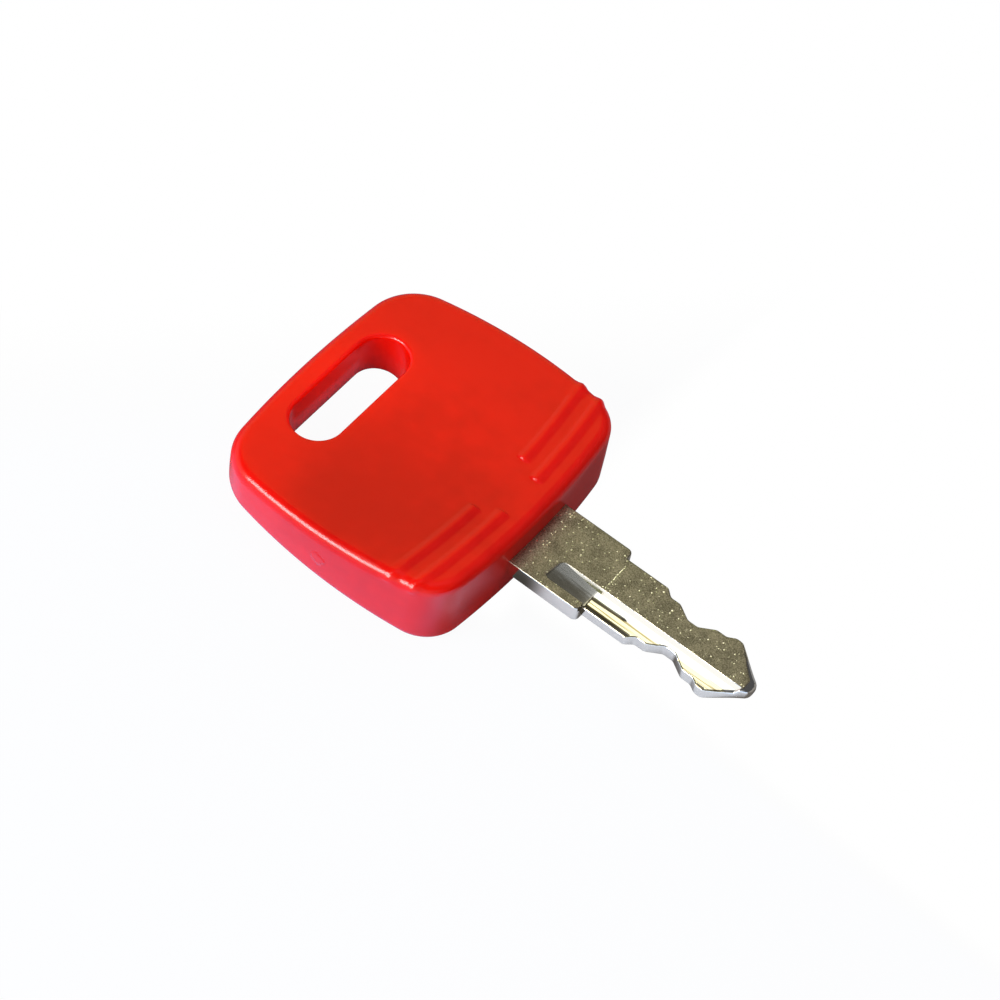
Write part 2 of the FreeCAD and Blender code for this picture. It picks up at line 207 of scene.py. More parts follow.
def makeHead(shape, ribs):
    # torus-shaped grid: rings run round the head, and the section goes up the slot's wall, over its
    # rounding, across the sloping face, over the outer rounding and down the wall to half height;
    # the under half is the same section upside down, without the ribs
    frontX, backX, halfWidth = headHigh[0], headLow[0], headHigh[1]
    rim, outward = headOutline(shape, ribs, frontX, backX, halfWidth)
    slotX = backX + shape["slotBridge"] + shape["slotWidth"] / 2
    slotReach = (shape["slotLength"] - shape["slotWidth"]) / 2
    drawn = rim * np.array([1.0, shape["slotFan"]])
    core = np.stack([np.full(len(rim), slotX), np.clip(drawn[:, 1], -slotReach, slotReach)], axis=-1)
    fromCore = (drawn - core) / np.linalg.norm(drawn - core, axis=1, keepdims=True)
    slotRim = core + fromCore * shape["slotWidth"] / 2
    slope = (shape["frontThickness"] - shape["backThickness"]) / 2 / (frontX - backX)
    up = np.array([-slope, 0.0, 1.0]) / math.hypot(slope, 1.0)
    sideways = np.column_stack([outward, np.zeros(len(rim))])
    edge, lean, slotLean = shape["edgeRound"], shape["draft"], shape["slotDraft"]
    upperRound, lowerRound = shape["slotRound"]
    slotWallRings, slotRoundRings = shape["slotRings"]
    plainRings, ribbedRings = shape["faceRings"]
    ribbedFrom, quarter = shape["ribbedFrom"], math.pi / 2

    def halfSection(inner, ribHeight):
        # rings from the slot's wall at half height to the outer wall at half height
        rings = []

        def addRing(flat, share=1.0, drop=0.0, tilt=0.0, ribShare=0.0):
            # flat: x and y all round; it lies at a share of the height that is drop below the face,
            # and the ribs push it along a normal tilted from straight up towards straight out
            height = (shape["frontThickness"] / 2 - slope * (frontX - flat[:, 0]) - drop) * share
            normal = up * math.cos(tilt) + sideways * math.sin(tilt)
            rise = ribRise(shape, ribs, frontX, flat[:, 0], flat[:, 1]) * ribShare * ribHeight
            rings.append(np.column_stack([flat, height]) + normal * rise[:, None])

        for share in spread((0.0, 1.0, slotWallRings)):
            addRing(slotRim + fromCore * slotLean * share, share=share, drop=inner)
        for turn in spread((0.0, quarter, slotRoundRings)):
            opening = slotLean + inner * (1 - math.cos(turn))
            addRing(slotRim + fromCore * opening, drop=inner * (1 - math.sin(turn)))
        start = slotRim + fromCore * (slotLean + inner)
        stop = rim - outward * (lean + edge)
        for share in spread((0.0, ribbedFrom, plainRings), (ribbedFrom, 1.0, ribbedRings)):
            addRing(start + (stop - start) * share, ribShare=1.0)
        for turn in spread((0.0, quarter, shape["edgeRings"])):
            ribShare = float(smoothStep(*ribs["overEdge"], math.cos(turn)))
            addRing(rim - outward * (lean + edge * (1 - math.sin(turn))), drop=edge * (1 - math.cos(turn)),
                    tilt=turn, ribShare=ribShare)
        for share in np.linspace(1.0, 0.0, shape["wallRings"]):
            addRing(rim - outward * lean * share, share=share, drop=edge)
        return np.stack(rings)

    upper = halfSection(upperRound, 1.0)
    under = halfSection(lowerRound, 0.0)[-2:0:-1] * np.array([1.0, 1.0, -1.0])
    return meshFromRings("headMoulding", np.concatenate([upper, under]), joined=True)


# Blade

bladeLow, bladeHigh = (np.array(corner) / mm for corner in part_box("key_blade"))
bladeShape = {
    "shoulderHalf": 5.175,      # half-width behind the shoulder stop
    "shoulderCorner": 0.7,
    "bladeHalf": 3.975,
    "cutFromTip": 6.7,          # last cut's middle, from the tip
    "cutPitch": 3.1,
    "cutLand": 1.3,
    "cutRamp": 0.9,
    "cutHalves": (3.175, 2.05, 3.175),
    "cutRound": 0.45,
    "crestHalf": 3.75,
    "crestLength": 0.9,
    "tipTaper": 4.2,
    "noseHalf": 0.75,
    "noseRound": 1.1,
    "edgeRound": 0.17,
    "edgeTurns": 9,             # points round an edge
    "tipRound": (1.1, 0.42),    # at the nose, of the edges without and with the groove
    "tipBlend": (0.6, 0.5),     # they change from this far before the taper to this far before the tip
    "leastHalf": 0.02,          # half-width left at the very tip
    "fineStep": 0.01,           # between the samples of the outline, and between its insets
    "sharpEnds": (0.5, 0.3),    # the running mean keeps off the shoulder stop and the tip
    "sharpAngle": 28.0,
    # where each stretch of sections ends and how many it has, by x and then back from the tip
    "stations": ((-10.0, 6), (-6.0, 8), (-0.9, 60), (-0.02, 26), (0.02, 3), (1.2, 20), (4.8, 24)),
    "tipStations": ((4.6, 150), (1.1, 50), (0.0, 40)),
}
grooveShape = {
    "depth": 0.58,
    "wallTop": 1.03,            # |y| of the inner wall's top
    "wallLean": 0.6,            # how far the wall goes outwards for its depth
    "leastWall": 0.01,          # the wall's width where the groove has no depth
    "riser": 2.2,               # |y| where the floor steps down to the outer ledge
    "riserWidth": (0.42, 0.15),  # at the shoulder stop, and further along
    "riserTaper": (1.0, 5.0),   # x between which it narrows
    "ledgeDrop": 0.09,
    "ledgeStep": (-0.02, 0.06),  # x between which the ledge drops
    "slope": 3.5,               # |y| where the worn outer slope starts
    "slopeDrop": 0.22,
    "outer": (3.97, 4.02),      # |y| of the outer wall's foot and top, behind the shoulder stop
    "outerStep": (-0.02, 0.02),  # x between which that wall ends
    "runOut": (-5.3, 0.2),      # x where the groove starts and where it is full deep
    "runOutBend": 1.15,         # 1 is a straight ramp, more is hollower
    "runOutCorner": 0.9,        # radius of its two corners, seen from above
    "slant": 0.135,             # the run-out starts this much earlier for each millimetre outwards
    "columns": (7, 3, 6, 4, 5, 5, 2, 3),  # points between the marks across a face
}


def bladeHalfWidth(shape, tip):
    # half-width against x, finely sampled: straight lines between the corners of the outline, the
    # shoulder's and the nose's corners as arcs, the cuts' corners softened by a short running mean
    step = shape["fineStep"]
    x = np.arange(bladeLow[0], tip + step / 2, step)
    lastCut, lastPlace = tip - shape["cutFromTip"], len(shape["cutHalves"]) - 1
    land, ramp = shape["cutLand"] / 2, shape["cutRamp"]
    cornerX = [0.0, lastCut - lastPlace * shape["cutPitch"] - land - ramp]
    cornerY = [shape["bladeHalf"]] * 2
    for place, half in enumerate(shape["cutHalves"]):
        middle = lastCut + (place - lastPlace) * shape["cutPitch"]
        cornerX += [middle - land, middle + land]
        cornerY += [half, half]
    cornerX += [tip - shape["tipTaper"] - shape["crestLength"], tip - shape["tipTaper"], tip]
    cornerY += [shape["crestHalf"], shape["crestHalf"], shape["noseHalf"]]
    half = np.interp(x, cornerX, cornerY)
    window = int(shape["cutRound"] / step) | 1
    padded = np.pad(half, window // 2, mode="edge")
    softened = np.convolve(padded, np.full(window, 1.0 / window), mode="valid")
    stopEnd, tipEnd = shape["sharpEnds"]
    half = np.where((x > stopEnd) & (x < tip - tipEnd), softened, half)
    taper = math.atan2(shape["crestHalf"] - shape["noseHalf"], shape["tipTaper"])
    nose = shape["noseRound"]
    noseY = shape["noseHalf"] - nose * (1 - math.sin(taper)) / math.cos(taper)
    intoNose = np.clip(x - tip + nose, 0.0, nose)
    noseArc = noseY + np.sqrt(nose ** 2 - intoNose ** 2)
    half = np.where(intoNose > nose * math.sin(taper), np.minimum(half, noseArc), half)
    corner = shape["shoulderCorner"]
    intoCorner = np.clip(x + corner, 0.0, corner)
    shoulder = shape["shoulderHalf"] - corner + np.sqrt(np.maximum(corner ** 2 - intoCorner ** 2, 0.0))
    return x, np.where(x <= 0.0, shoulder, half)


def inset(x, half, amount):
    # half-width of the outline moved inwards by amount: the least of half(x + s) - sqrt(amount^2 - s^2)
    step = x[1] - x[0]
    reach = int(round(amount / step))
    result = half - amount
    for shift in range(1, reach + 1):
        drop = math.sqrt(max(amount ** 2 - (shift * step) ** 2, 0.0))
        result[shift:] = np.minimum(result[shift:], half[:-shift] - drop)
        result[:-shift] = np.minimum(result[:-shift], half[shift:] - drop)
    return result


def grooveDepth(groove, x):
    # slightly hollow ramp down to full depth, constant after it: depth * (1 - (share left to go) ^ bend)
    start, full = groove["runOut"]
    toGo = np.clip((full - x) / (full - start), 0.0, 1.0)
    return groove["depth"] * (1.0 - toGo ** groove["runOutBend"])


def runOutCorner(groove, x, mark):
    # how far a side of the groove at |y| = mark bends inwards where the run-out starts: a quarter circle
    radius = groove["runOutCorner"]
    into = np.clip(x + groove["slant"] * (mark - groove["wallTop"]) - groove["runOut"][0], 0.0, radius)
    return radius - np.sqrt(radius ** 2 - (radius - into) ** 2)


def faceSection(groove, x, plainEdge, groovedEdge):
    # one face from its +Y edge to its -Y edge, as y and how deep it lies: flat, wall, floor, riser, ledge
    # and outer slope, or outer wall and flat behind the shoulder stop; straight between these marks,
    # and cut off where the blade's own edge comes first
    same = np.ones_like(x)
    ahead = smoothStep(*groove["outerStep"], x)
    ledge = groove["ledgeDrop"] * smoothStep(*groove["ledgeStep"], x)
    wide, narrow = groove["riserWidth"]
    riserFoot = groove["riser"] + wide + (narrow - wide) * smoothStep(*groove["riserTaper"], x)
    wallTop = groove["wallTop"] + runOutCorner(groove, x, groove["wallTop"])
    wallFoot = wallTop + groove["leastWall"] + groove["wallLean"] * grooveDepth(groove, x)
    slopeTop = groove["slope"] - runOutCorner(groove, x, groove["slope"])
    outerFoot, outerTop = (mark - runOutCorner(groove, x, mark) for mark in groove["outer"])
    across = [-plainEdge, wallTop, wallFoot, groove["riser"] * same, riserFoot,
              slopeTop, outerFoot, outerTop, groovedEdge]
    milled = [grooveDepth(groove, x + groove["slant"] * (mark - groove["wallTop"])) for mark in across]
    worn = ledge + groove["slopeDrop"] * ahead
    depths = [0.0 * same, 0.0 * same, milled[2], milled[3], milled[4] + ledge, milled[5] + ledge,
              milled[6] + worn, (milled[7] + worn) * ahead, (milled[7] + worn) * ahead]
    columns = []
    for before, after, count in zip(across[:-1], across[1:], groove["columns"]):
        shares = np.linspace(0.0, 1.0, count, endpoint=False)
        columns += [before + (after - before) * share for share in shares]
    columns.append(groovedEdge)
    out = np.clip(np.stack(columns, axis=1), -plainEdge[:, None], groovedEdge[:, None])
    sunk = np.zeros_like(out)
    noWidth = 1e-6  # keeps the division below from failing
    for place in range(1, len(across) - 2):
        width = np.maximum(across[place + 1] - across[place], noWidth)[:, None]
        part = np.clip((out - across[place][:, None]) / width, 0.0, 1.0)
        sunk += (depths[place + 1] - depths[place])[:, None] * part
    return -out, sunk


def makeBlade(shape, groove):
    # sections carried along x: over one face, round the edge, down the side, under the other face and
    # back up; the under face is the upper one turned half round the blade's axis
    tip, thickness = bladeHigh[0], bladeHigh[2] - bladeLow[2]
    fineX, fineHalf = bladeHalfWidth(shape, tip)
    stops = list(shape["stations"]) + [(tip - fromTip, count) for fromTip, count in shape["tipStations"]]
    starts = [bladeLow[0]] + [stop for stop, _ in stops[:-1]]
    x = np.append(spread(*[(start, stop, count) for start, (stop, count) in zip(starts, stops)]), tip)
    level = shape["fineStep"]
    levels = np.arange(0.0, max(shape["tipRound"]) + 1.5 * level, level)  # one past the largest
    lastLevel = len(levels) - 1.001  # just short of it, so that a next one is always there
    insets = [inset(fineX, fineHalf, amount) for amount in levels]
    table = np.stack([np.interp(x, fineX, half) for half in insets], axis=1)
    blendTaper, blendTip = shape["tipBlend"]
    towardsNose = smoothStep(tip - shape["tipTaper"] - blendTaper, tip - blendTip, x)[:, None]
    turns = np.linspace(0.0, math.pi / 2, shape["edgeTurns"])

    def rounded(tipRound):
        # quarter circle round an edge, from the face outwards: how far out it reaches and how far it drops;
        # the reach is read between two insets of the outline
        radius = shape["edgeRound"] + (tipRound - shape["edgeRound"]) * towardsNose
        amounts = np.minimum(radius * (1 - np.sin(turns)), (tip - x)[:, None])
        place = np.clip(amounts / level, 0.0, lastLevel)
        low = place.astype(int)
        rows = np.arange(len(x))[:, None]
        reach = table[rows, low] * (1 - place + low) + table[rows, low + 1] * (place - low)
        drops = radius - np.sqrt(np.maximum(radius ** 2 - (radius - amounts) ** 2, 0.0))
        return np.maximum(reach, shape["leastHalf"]), drops

    plainReach, plainDrop = rounded(shape["tipRound"][0])
    groovedReach, groovedDrop = rounded(shape["tipRound"][1])
    faceY, sunk = faceSection(groove, x, plainReach[:, 0], groovedReach[:, 0])
    inGroove = np.clip((-faceY - groove["wallTop"]) / (groove["wallLean"] * groove["depth"]), 0.0, 1.0)
    faceZ = thickness / 2 - sunk - plainDrop[:, :1] - (groovedDrop - plainDrop)[:, :1] * inGroove
    lipZ, plainZ = faceZ[:, -1:] + groovedDrop[:, :1], faceZ[:, :1] + plainDrop[:, :1]
    sideY = np.concatenate([-groovedReach[:, 1:], -plainReach[:, :0:-1]], axis=1)
    sideZ = np.concatenate([lipZ - groovedDrop[:, 1:], plainDrop[:, :0:-1] - plainZ], axis=1)
    y = np.concatenate([faceY, sideY, -faceY, -sideY], axis=1)
    z = np.concatenate([faceZ, sideZ, -faceZ, -sideZ], axis=1)
    rings = np.stack([np.broadcast_to(x[:, None], y.shape), y, z], axis=-1)
    return meshFromRings("bladePlated", rings, sharpAngle=shape["sharpAngle"])


# Materials


def toLinear(red, green, blue):
    # a colour as read off a screen, 0 to 255, as the linear colour that a shader takes
    shade = np.array([red, green, blue]) / 255.0
    return tuple(np.where(shade <= 0.04045, shade / 12.92, ((shade + 0.055) / 1.055) ** 2.4)) + (1.0,)


def addNode(tree, kind, inputs=None, **settings):
    # a node with its settings; inputs are values, or other nodes' outputs to link
    made = tree.nodes.new(kind)
    for setting, value in settings.items():
        setattr(made, setting, value)
    for socket, value in (inputs or {}).items():
        if isinstance(value, bpy.types.NodeSocket):
            tree.links.new(value, made.inputs[socket])
        else:
            made.inputs[socket].default_value = value
    return made


def newMaterial(name):
    material = bpy.data.materials.new(name)
    material.use_nodes = True
    tree = material.node_tree
    tree.nodes.clear()
    shader = addNode(tree, "ShaderNodeBsdfPrincipled")
    addNode(tree, "ShaderNodeOutputMaterial", {"Surface": shader.outputs["BSDF"]})
    place = addNode(tree, "ShaderNodeTexCoord").outputs["Object"]
    return material, tree, shader, place


def combine(tree, operation, first, second):
    return addNode(tree, "ShaderNodeMath", {0: first, 1: second}, operation=operation).outputs[0]


def plus(tree, first, second):
    return combine(tree, "ADD", first, second)


def times(tree, first, second):
    return combine(tree, "MULTIPLY", first, second)


def larger(tree, first, second):
    return combine(tree, "MAXIMUM", first, second)


def unsigned(tree, value):
    return addNode(tree, "ShaderNodeMath", {0: value}, operation="ABSOLUTE").outputs[0]


def rampUp(tree, value, low, high):
    # 0 to 1 as value goes from low to high, smoothly; low may be the larger one
    made = addNode(tree, "ShaderNodeMapRange", {"Value": value, "From Min": low, "From Max": high},
                   interpolation_type="SMOOTHSTEP")
    return made.outputs["Result"]


def between(tree, share, low, high):
    # low to high as share goes from 0 to 1
    made = addNode(tree, "ShaderNodeMapRange", {"Value": share, "To Min": low, "To Max": high})
    return made.outputs["Result"]


def farFrom(tree, place, point):
    # distance from a point given in millimetres
    made = addNode(tree, "ShaderNodeVectorMath", {0: place, 1: tuple(part * mm for part in point)},
                   operation="DISTANCE")
    return made.outputs["Value"]


def alongWay(tree, place, way):
    # how far a place lies along a direction
    return addNode(tree, "ShaderNodeVectorMath", {0: place, 1: way}, operation="DOT_PRODUCT").outputs["Value"]


def noiseAt(tree, place, size, detail=3.0, stretch=(1.0, 1.0, 1.0), roughness=0.6):
    # noise whose lumps are about size millimetres, longer along an axis with a small stretch
    mapped = addNode(tree, "ShaderNodeMapping", {"Vector": place, "Scale": stretch}).outputs[0]
    made = addNode(tree, "ShaderNodeTexNoise", {"Vector": mapped, "Scale": 1.0 / (size * mm),
                                                "Detail": detail, "Roughness": roughness})
    return made.outputs["Fac"]


def mixColour(tree, factor, first, second):
    # sockets 6 and 7 are the two colours, and output 2 is their mix
    return addNode(tree, "ShaderNodeMix", {0: factor, 6: first, 7: second}, data_type="RGBA").outputs[2]


def addBump(tree, shader, height):
    # height in millimetres
    bump = addNode(tree, "ShaderNodeBump", {"Height": height, "Distance": mm, "Strength": 1.0})
    tree.links.new(bump.outputs["Normal"], shader.inputs["Normal"])


redFinish = {
    "deep": toLinear(203, 9, 0),
    "light": toLinear(230, 16, 2),
    "toneRange": (0.5, 1.5),
    "cloudSize": 9.0,
    "streakSize": 2.2,
    "streakShare": 0.35,
    "paintedShadeMiddle": (-24.0, -7.0, 3.0),    # painted shade: middle of a darker patch on the face
    "paintedShadeReach": (5.0, 18.0),
    "paintedShadeShare": 0.7,
    "roughness": (0.17, 0.22),
    "gloss": 0.45,
    "glow": 1.0,                   # share of the light that goes a little way into the plastic
    "glowReach": (1.0, 0.3, 0.15),
    "glowDepth": 2.0,
    "grain": (0.35, 0.004),        # size and height
    "peel": (1.6, 0.012),
    "gate": (-25.5, -18.3, 0.0),   # gate scar on the parting line
    "gateEdge": (1.7, 1.2),        # how far from its middle the scar starts and is full
    "gateRagged": (0.8, 1.2),      # size and reach of its uneven edge
    "gateHeight": 0.10,
}


def makeRedPlastic(finish):
    material, tree, shader, place = newMaterial("redMoulding")
    shader.inputs["Specular IOR Level"].default_value = finish["gloss"]
    shader.inputs["Subsurface Weight"].default_value = finish["glow"]
    shader.inputs["Subsurface Radius"].default_value = finish["glowReach"]
    shader.inputs["Subsurface Scale"].default_value = finish["glowDepth"] * mm

    # clouded red, with a painted shade patch darker on the face
    clouds = noiseAt(tree, place, finish["cloudSize"])
    streaks = noiseAt(tree, place, finish["streakSize"])
    paintedShadeStart, paintedShadeEnd = (reach * mm for reach in finish["paintedShadeReach"])
    clear = rampUp(tree, farFrom(tree, place, finish["paintedShadeMiddle"]), paintedShadeStart, paintedShadeEnd)
    mottled = plus(tree, clouds, times(tree, streaks, finish["streakShare"]))
    tone = rampUp(tree, plus(tree, mottled, times(tree, clear, finish["paintedShadeShare"])), *finish["toneRange"])
    tree.links.new(mixColour(tree, tone, finish["deep"], finish["light"]), shader.inputs["Base Color"])
    tree.links.new(between(tree, streaks, *finish["roughness"]), shader.inputs["Roughness"])

    # fine grain, a slight orange peel and the scar of the gate
    grainSize, grainHeight = finish["grain"]
    peelSize, peelHeight = finish["peel"]
    raggedSize, raggedReach = finish["gateRagged"]
    gateStart, gateFull = (edge * mm for edge in finish["gateEdge"])
    uneven = times(tree, noiseAt(tree, place, raggedSize), raggedReach * mm)
    scar = rampUp(tree, plus(tree, farFrom(tree, place, finish["gate"]), uneven), gateStart, gateFull)
    height = plus(tree, times(tree, noiseAt(tree, place, grainSize, detail=2.0), grainHeight),
                  times(tree, noiseAt(tree, place, peelSize, detail=1.0), peelHeight))
    addBump(tree, shader, plus(tree, height, times(tree, scar, finish["gateHeight"])))
    return material


plateFinish = {
    "flatDark": toLinear(128, 118, 101),
    "flatLight": toLinear(206, 190, 165),
    "flatTone": (0.5, 1.0),
    "flatSkin": (0.05, 0.01),      # how far below the faces the dull flats start and are full
    "flatRoughness": 0.42,
    "grainSize": 0.16,
    "pitDepth": 0.02,
    "patchSize": 1.5,
    "patchShare": 0.5,
    "speck": toLinear(250, 240, 206),
    "speckSize": 0.30,
    "speckEdge": (0.5, 0.2),
    "speckDraw": (1.0, 1.2),       # a cell whose draw is above this has a speck
    "speckRagged": (0.25, 0.3),    # size and reach of their uneven edges
    "clusterSize": 1.1,
    "clusterShare": 0.5,
    "scribe": (0.47, -1.03, 3.4),  # x of the scribed line, and its ends in y
    "scribeHalf": 0.07,
    "scribeEdge": (1.6, 0.6),      # its soft sides, in half-widths
    "scribeFade": (0.1, 0.3),      # how long its ends are
    "scribeWander": (0.5, 0.2),    # size and reach
    "beadSize": 0.3,
    "beadRange": (0.36, 0.5),
    "milled": toLinear(252, 250, 242),
    "milledRoughness": 0.07,
    "ledge": toLinear(250, 240, 205),
    "ledgeStreak": toLinear(176, 160, 112),
    "ledgeBlend": (-0.1, 0.2),     # past the riser
    "streakSize": 0.26,
    "streakStretch": (0.03, 1.0, 1.0),
    "streakRange": (0.5, 0.62),
    "streakHeight": 0.005,
    "runOutDark": toLinear(126, 122, 110),
    "runOutLight": toLinear(200, 200, 196),
    "runOutAcross": (3.4, 1.2),    # |y| where it starts to lighten and is lightest
    "runOutTone": (0.5, 1.4),
    "runOutBlend": 0.5,            # how long it takes to change into the bright milling
    "runOutDull": 0.45,            # its roughness, between milled and flat
    "side": toLinear(255, 246, 228),
    "sideRange": (0.4, 0.7),       # how level a surface is, from the sides to the milling
}


def makePlate(finish, groove):
    material, tree, shader, place = newMaterial("nickelPlate")
    shader.inputs["Metallic"].default_value = 1.0
    axes = addNode(tree, "ShaderNodeSeparateXYZ", {"Vector": place})
    x, y, z = (axes.outputs[axis] for axis in "XYZ")
    halfThick = (bladeHigh[2] - bladeLow[2]) / 2
    skinStart, skinFull = ((halfThick - skin) * mm for skin in finish["flatSkin"])
    outerFlat = rampUp(tree, unsigned(tree, z), skinStart, skinFull)
    normal = addNode(tree, "ShaderNodeNewGeometry").outputs["True Normal"]
    facing = addNode(tree, "ShaderNodeSeparateXYZ", {"Vector": normal}).outputs["Z"]
    level = rampUp(tree, unsigned(tree, facing), *finish["sideRange"])

    # dull, finely pitted flats with clusters of bright specks
    grain = noiseAt(tree, place, finish["grainSize"], detail=2.0)
    patches = times(tree, noiseAt(tree, place, finish["patchSize"]), finish["patchShare"])
    tone = rampUp(tree, plus(tree, grain, patches), *finish["flatTone"])
    flat = mixColour(tree, tone, finish["flatDark"], finish["flatLight"])
    raggedSize, raggedReach = (part * mm for part in finish["speckRagged"])
    wobble = addNode(tree, "ShaderNodeTexNoise", {"Vector": place, "Scale": 1.0 / raggedSize, "Detail": 2.0})
    shaken = addNode(tree, "ShaderNodeVectorMath",
                     {0: wobble.outputs["Color"], 1: (raggedReach,) * 3, 2: place}, operation="MULTIPLY_ADD")
    cells = addNode(tree, "ShaderNodeTexVoronoi",
                    {"Vector": shaken.outputs[0], "Scale": 1.0 / (finish["speckSize"] * mm)}).outputs
    draw = addNode(tree, "ShaderNodeSeparateColor", {"Color": cells["Color"]}).outputs["Red"]
    clusters = times(tree, noiseAt(tree, place, finish["clusterSize"], detail=1.0), finish["clusterShare"])
    chosen = rampUp(tree, plus(tree, draw, clusters), *finish["speckDraw"])
    speck = times(tree, rampUp(tree, cells["Distance"], *finish["speckEdge"]), chosen)

    # beaded scribed line across the flat
    scribeX, scribeLow, scribeHigh = (part * mm for part in finish["scribe"])
    lowFade, highFade = (part * mm for part in finish["scribeFade"])
    wanderSize, wanderReach = finish["scribeWander"]
    wander = times(tree, noiseAt(tree, place, wanderSize, detail=2.0), wanderReach * mm)
    aside = unsigned(tree, combine(tree, "SUBTRACT", plus(tree, x, wander), scribeX + wanderReach / 2 * mm))
    outside, inside = (part * finish["scribeHalf"] * mm for part in finish["scribeEdge"])
    beads = rampUp(tree, noiseAt(tree, place, finish["beadSize"], detail=1.0), *finish["beadRange"])
    line = times(tree, beads, rampUp(tree, aside, outside, inside))
    within = times(tree, rampUp(tree, y, scribeLow - lowFade, scribeLow),
                   rampUp(tree, y, scribeHigh, scribeHigh - highFade))
    mark = larger(tree, speck, times(tree, line, within))
    flat = mixColour(tree, mark, flat, finish["speck"])

    # bright milling: creamier on the outer ledge, with streaks along the blade
    outwards = unsigned(tree, y)
    ledgeStart, ledgeFull = ((groove["riser"] + part) * mm for part in finish["ledgeBlend"])
    onLedge = rampUp(tree, outwards, ledgeStart, ledgeFull)
    lengthwise = noiseAt(tree, place, finish["streakSize"], detail=2.0, stretch=finish["streakStretch"])
    streaks = rampUp(tree, lengthwise, *finish["streakRange"])
    streaked = mixColour(tree, streaks, finish["ledge"], finish["ledgeStreak"])
    bright = mixColour(tree, onLedge, finish["milled"], streaked)

    # brushed grey run-out
    darkSide, lightSide = (part * mm for part in finish["runOutAcross"])
    brushed = plus(tree, lengthwise, rampUp(tree, outwards, darkSide, lightSide))
    ramp = mixColour(tree, rampUp(tree, brushed, *finish["runOutTone"]),
                     finish["runOutDark"], finish["runOutLight"])
    runOutEnd = groove["runOut"][1]
    inRunOut = rampUp(tree, x, runOutEnd * mm, (runOutEnd - finish["runOutBlend"]) * mm)
    bright = mixColour(tree, inRunOut, bright, ramp)
    bright = mixColour(tree, level, finish["side"], bright)
    tree.links.new(mixColour(tree, outerFlat, bright, flat), shader.inputs["Base Color"])

    # the flats are dull, apart from their marks, and pitted; the ledge has fine lines
    dull = combine(tree, "SUBTRACT", outerFlat, times(tree, mark, outerFlat))
    brushedHere = times(tree, times(tree, inRunOut, level), finish["runOutDull"])
    rough = between(tree, larger(tree, dull, brushedHere), finish["milledRoughness"], finish["flatRoughness"])
    tree.links.new(rough, shader.inputs["Roughness"])
    pits = times(tree, times(tree, grain, dull), finish["pitDepth"])
    lines = times(tree, lengthwise, times(tree, onLedge, finish["streakHeight"]))
    addBump(tree, shader, plus(tree, pits, lines))
    return material


# Stage

floorSetup = {                     # places in metres
    "half": 2.5,
    "paper": (0.64, 0.74, 0.98, 1.0),
    "paintedDarkPaper": (0.10, 0.10, 0.11, 1.0),  # painted dark paper: a painted shadow before the head and a dark painted reflection far behind; the camera sees white there
    "white": (1.0, 1.0, 1.0, 1.0),
    "black": (0.0, 0.0, 0.0, 1.0),
    "cameraGlow": 0.95,            # share of the floor that is plain white to the camera
    "farWay": (-0.75, 0.66, 0.0),
    "farStart": (0.022, 0.045),    # how far along that way the paper turns to the dark painted reflection
    "frontX": (-0.016, -0.009),    # painted shadow: where the paper turns dark before the head
    "frontY": (-0.0065, -0.002),
    "nearX": (-0.0055, -0.009),    # close to the head the painted shadow reaches further to the left; these also bound the painted shade in reflections
    "nearY": (-0.0115, -0.0065),
    "nearRight": (0.011, 0.004),
    "mirrorGlow": 0.05,            # share that is plain white in reflections
    "mirrorShade": 0.8,            # painted shade: how much darker the sheet is in reflections, close to the head
    "mirrorOnce": 1.5,             # painted shade: a ray that was mirrored more often than this sees the sheet black, and none of the painted glows
    "leftY": (-0.013, -0.018),     # painted reflection: to the left the floor glows blue in reflections
    "paintedBlueGlow": (1.2, 1.9, 3.3, 1.0),
    "paintedBlueShare": 0.35,
    "slotX": (-0.0376, -0.0384),   # and some of that painted blue glow under the slot
    "paintedSlotShare": 0.22,
    "rightX": (-0.0085, -0.0055),  # painted sheen: to the right, a little before the head, reflections show white
    "rightY": (0.007, 0.011),
    "paintedSheenShare": 0.2,
}


def makeFloor(setup):
    # square under the head, tilted as the head's sloping under face lies
    slope = (headShape["frontThickness"] - headShape["backThickness"]) / 2 / (headHigh[0] - headLow[0])
    under = -headShape["frontThickness"] / 2
    corner = np.array([[-1.0, -1.0], [1.0, -1.0], [1.0, 1.0], [-1.0, 1.0]]) * setup["half"]
    height = under * mm - slope * (corner[:, 0] - headHigh[0] * mm)
    mesh = bpy.data.meshes.new("floor")
    mesh.from_pydata(np.column_stack([corner, height]).tolist(), [], [[0, 1, 2, 3]])
    floor = bpy.data.objects.new("floor", mesh)
    bpy.context.scene.collection.objects.link(floor)
    mesh.materials.append(makePaper(setup))


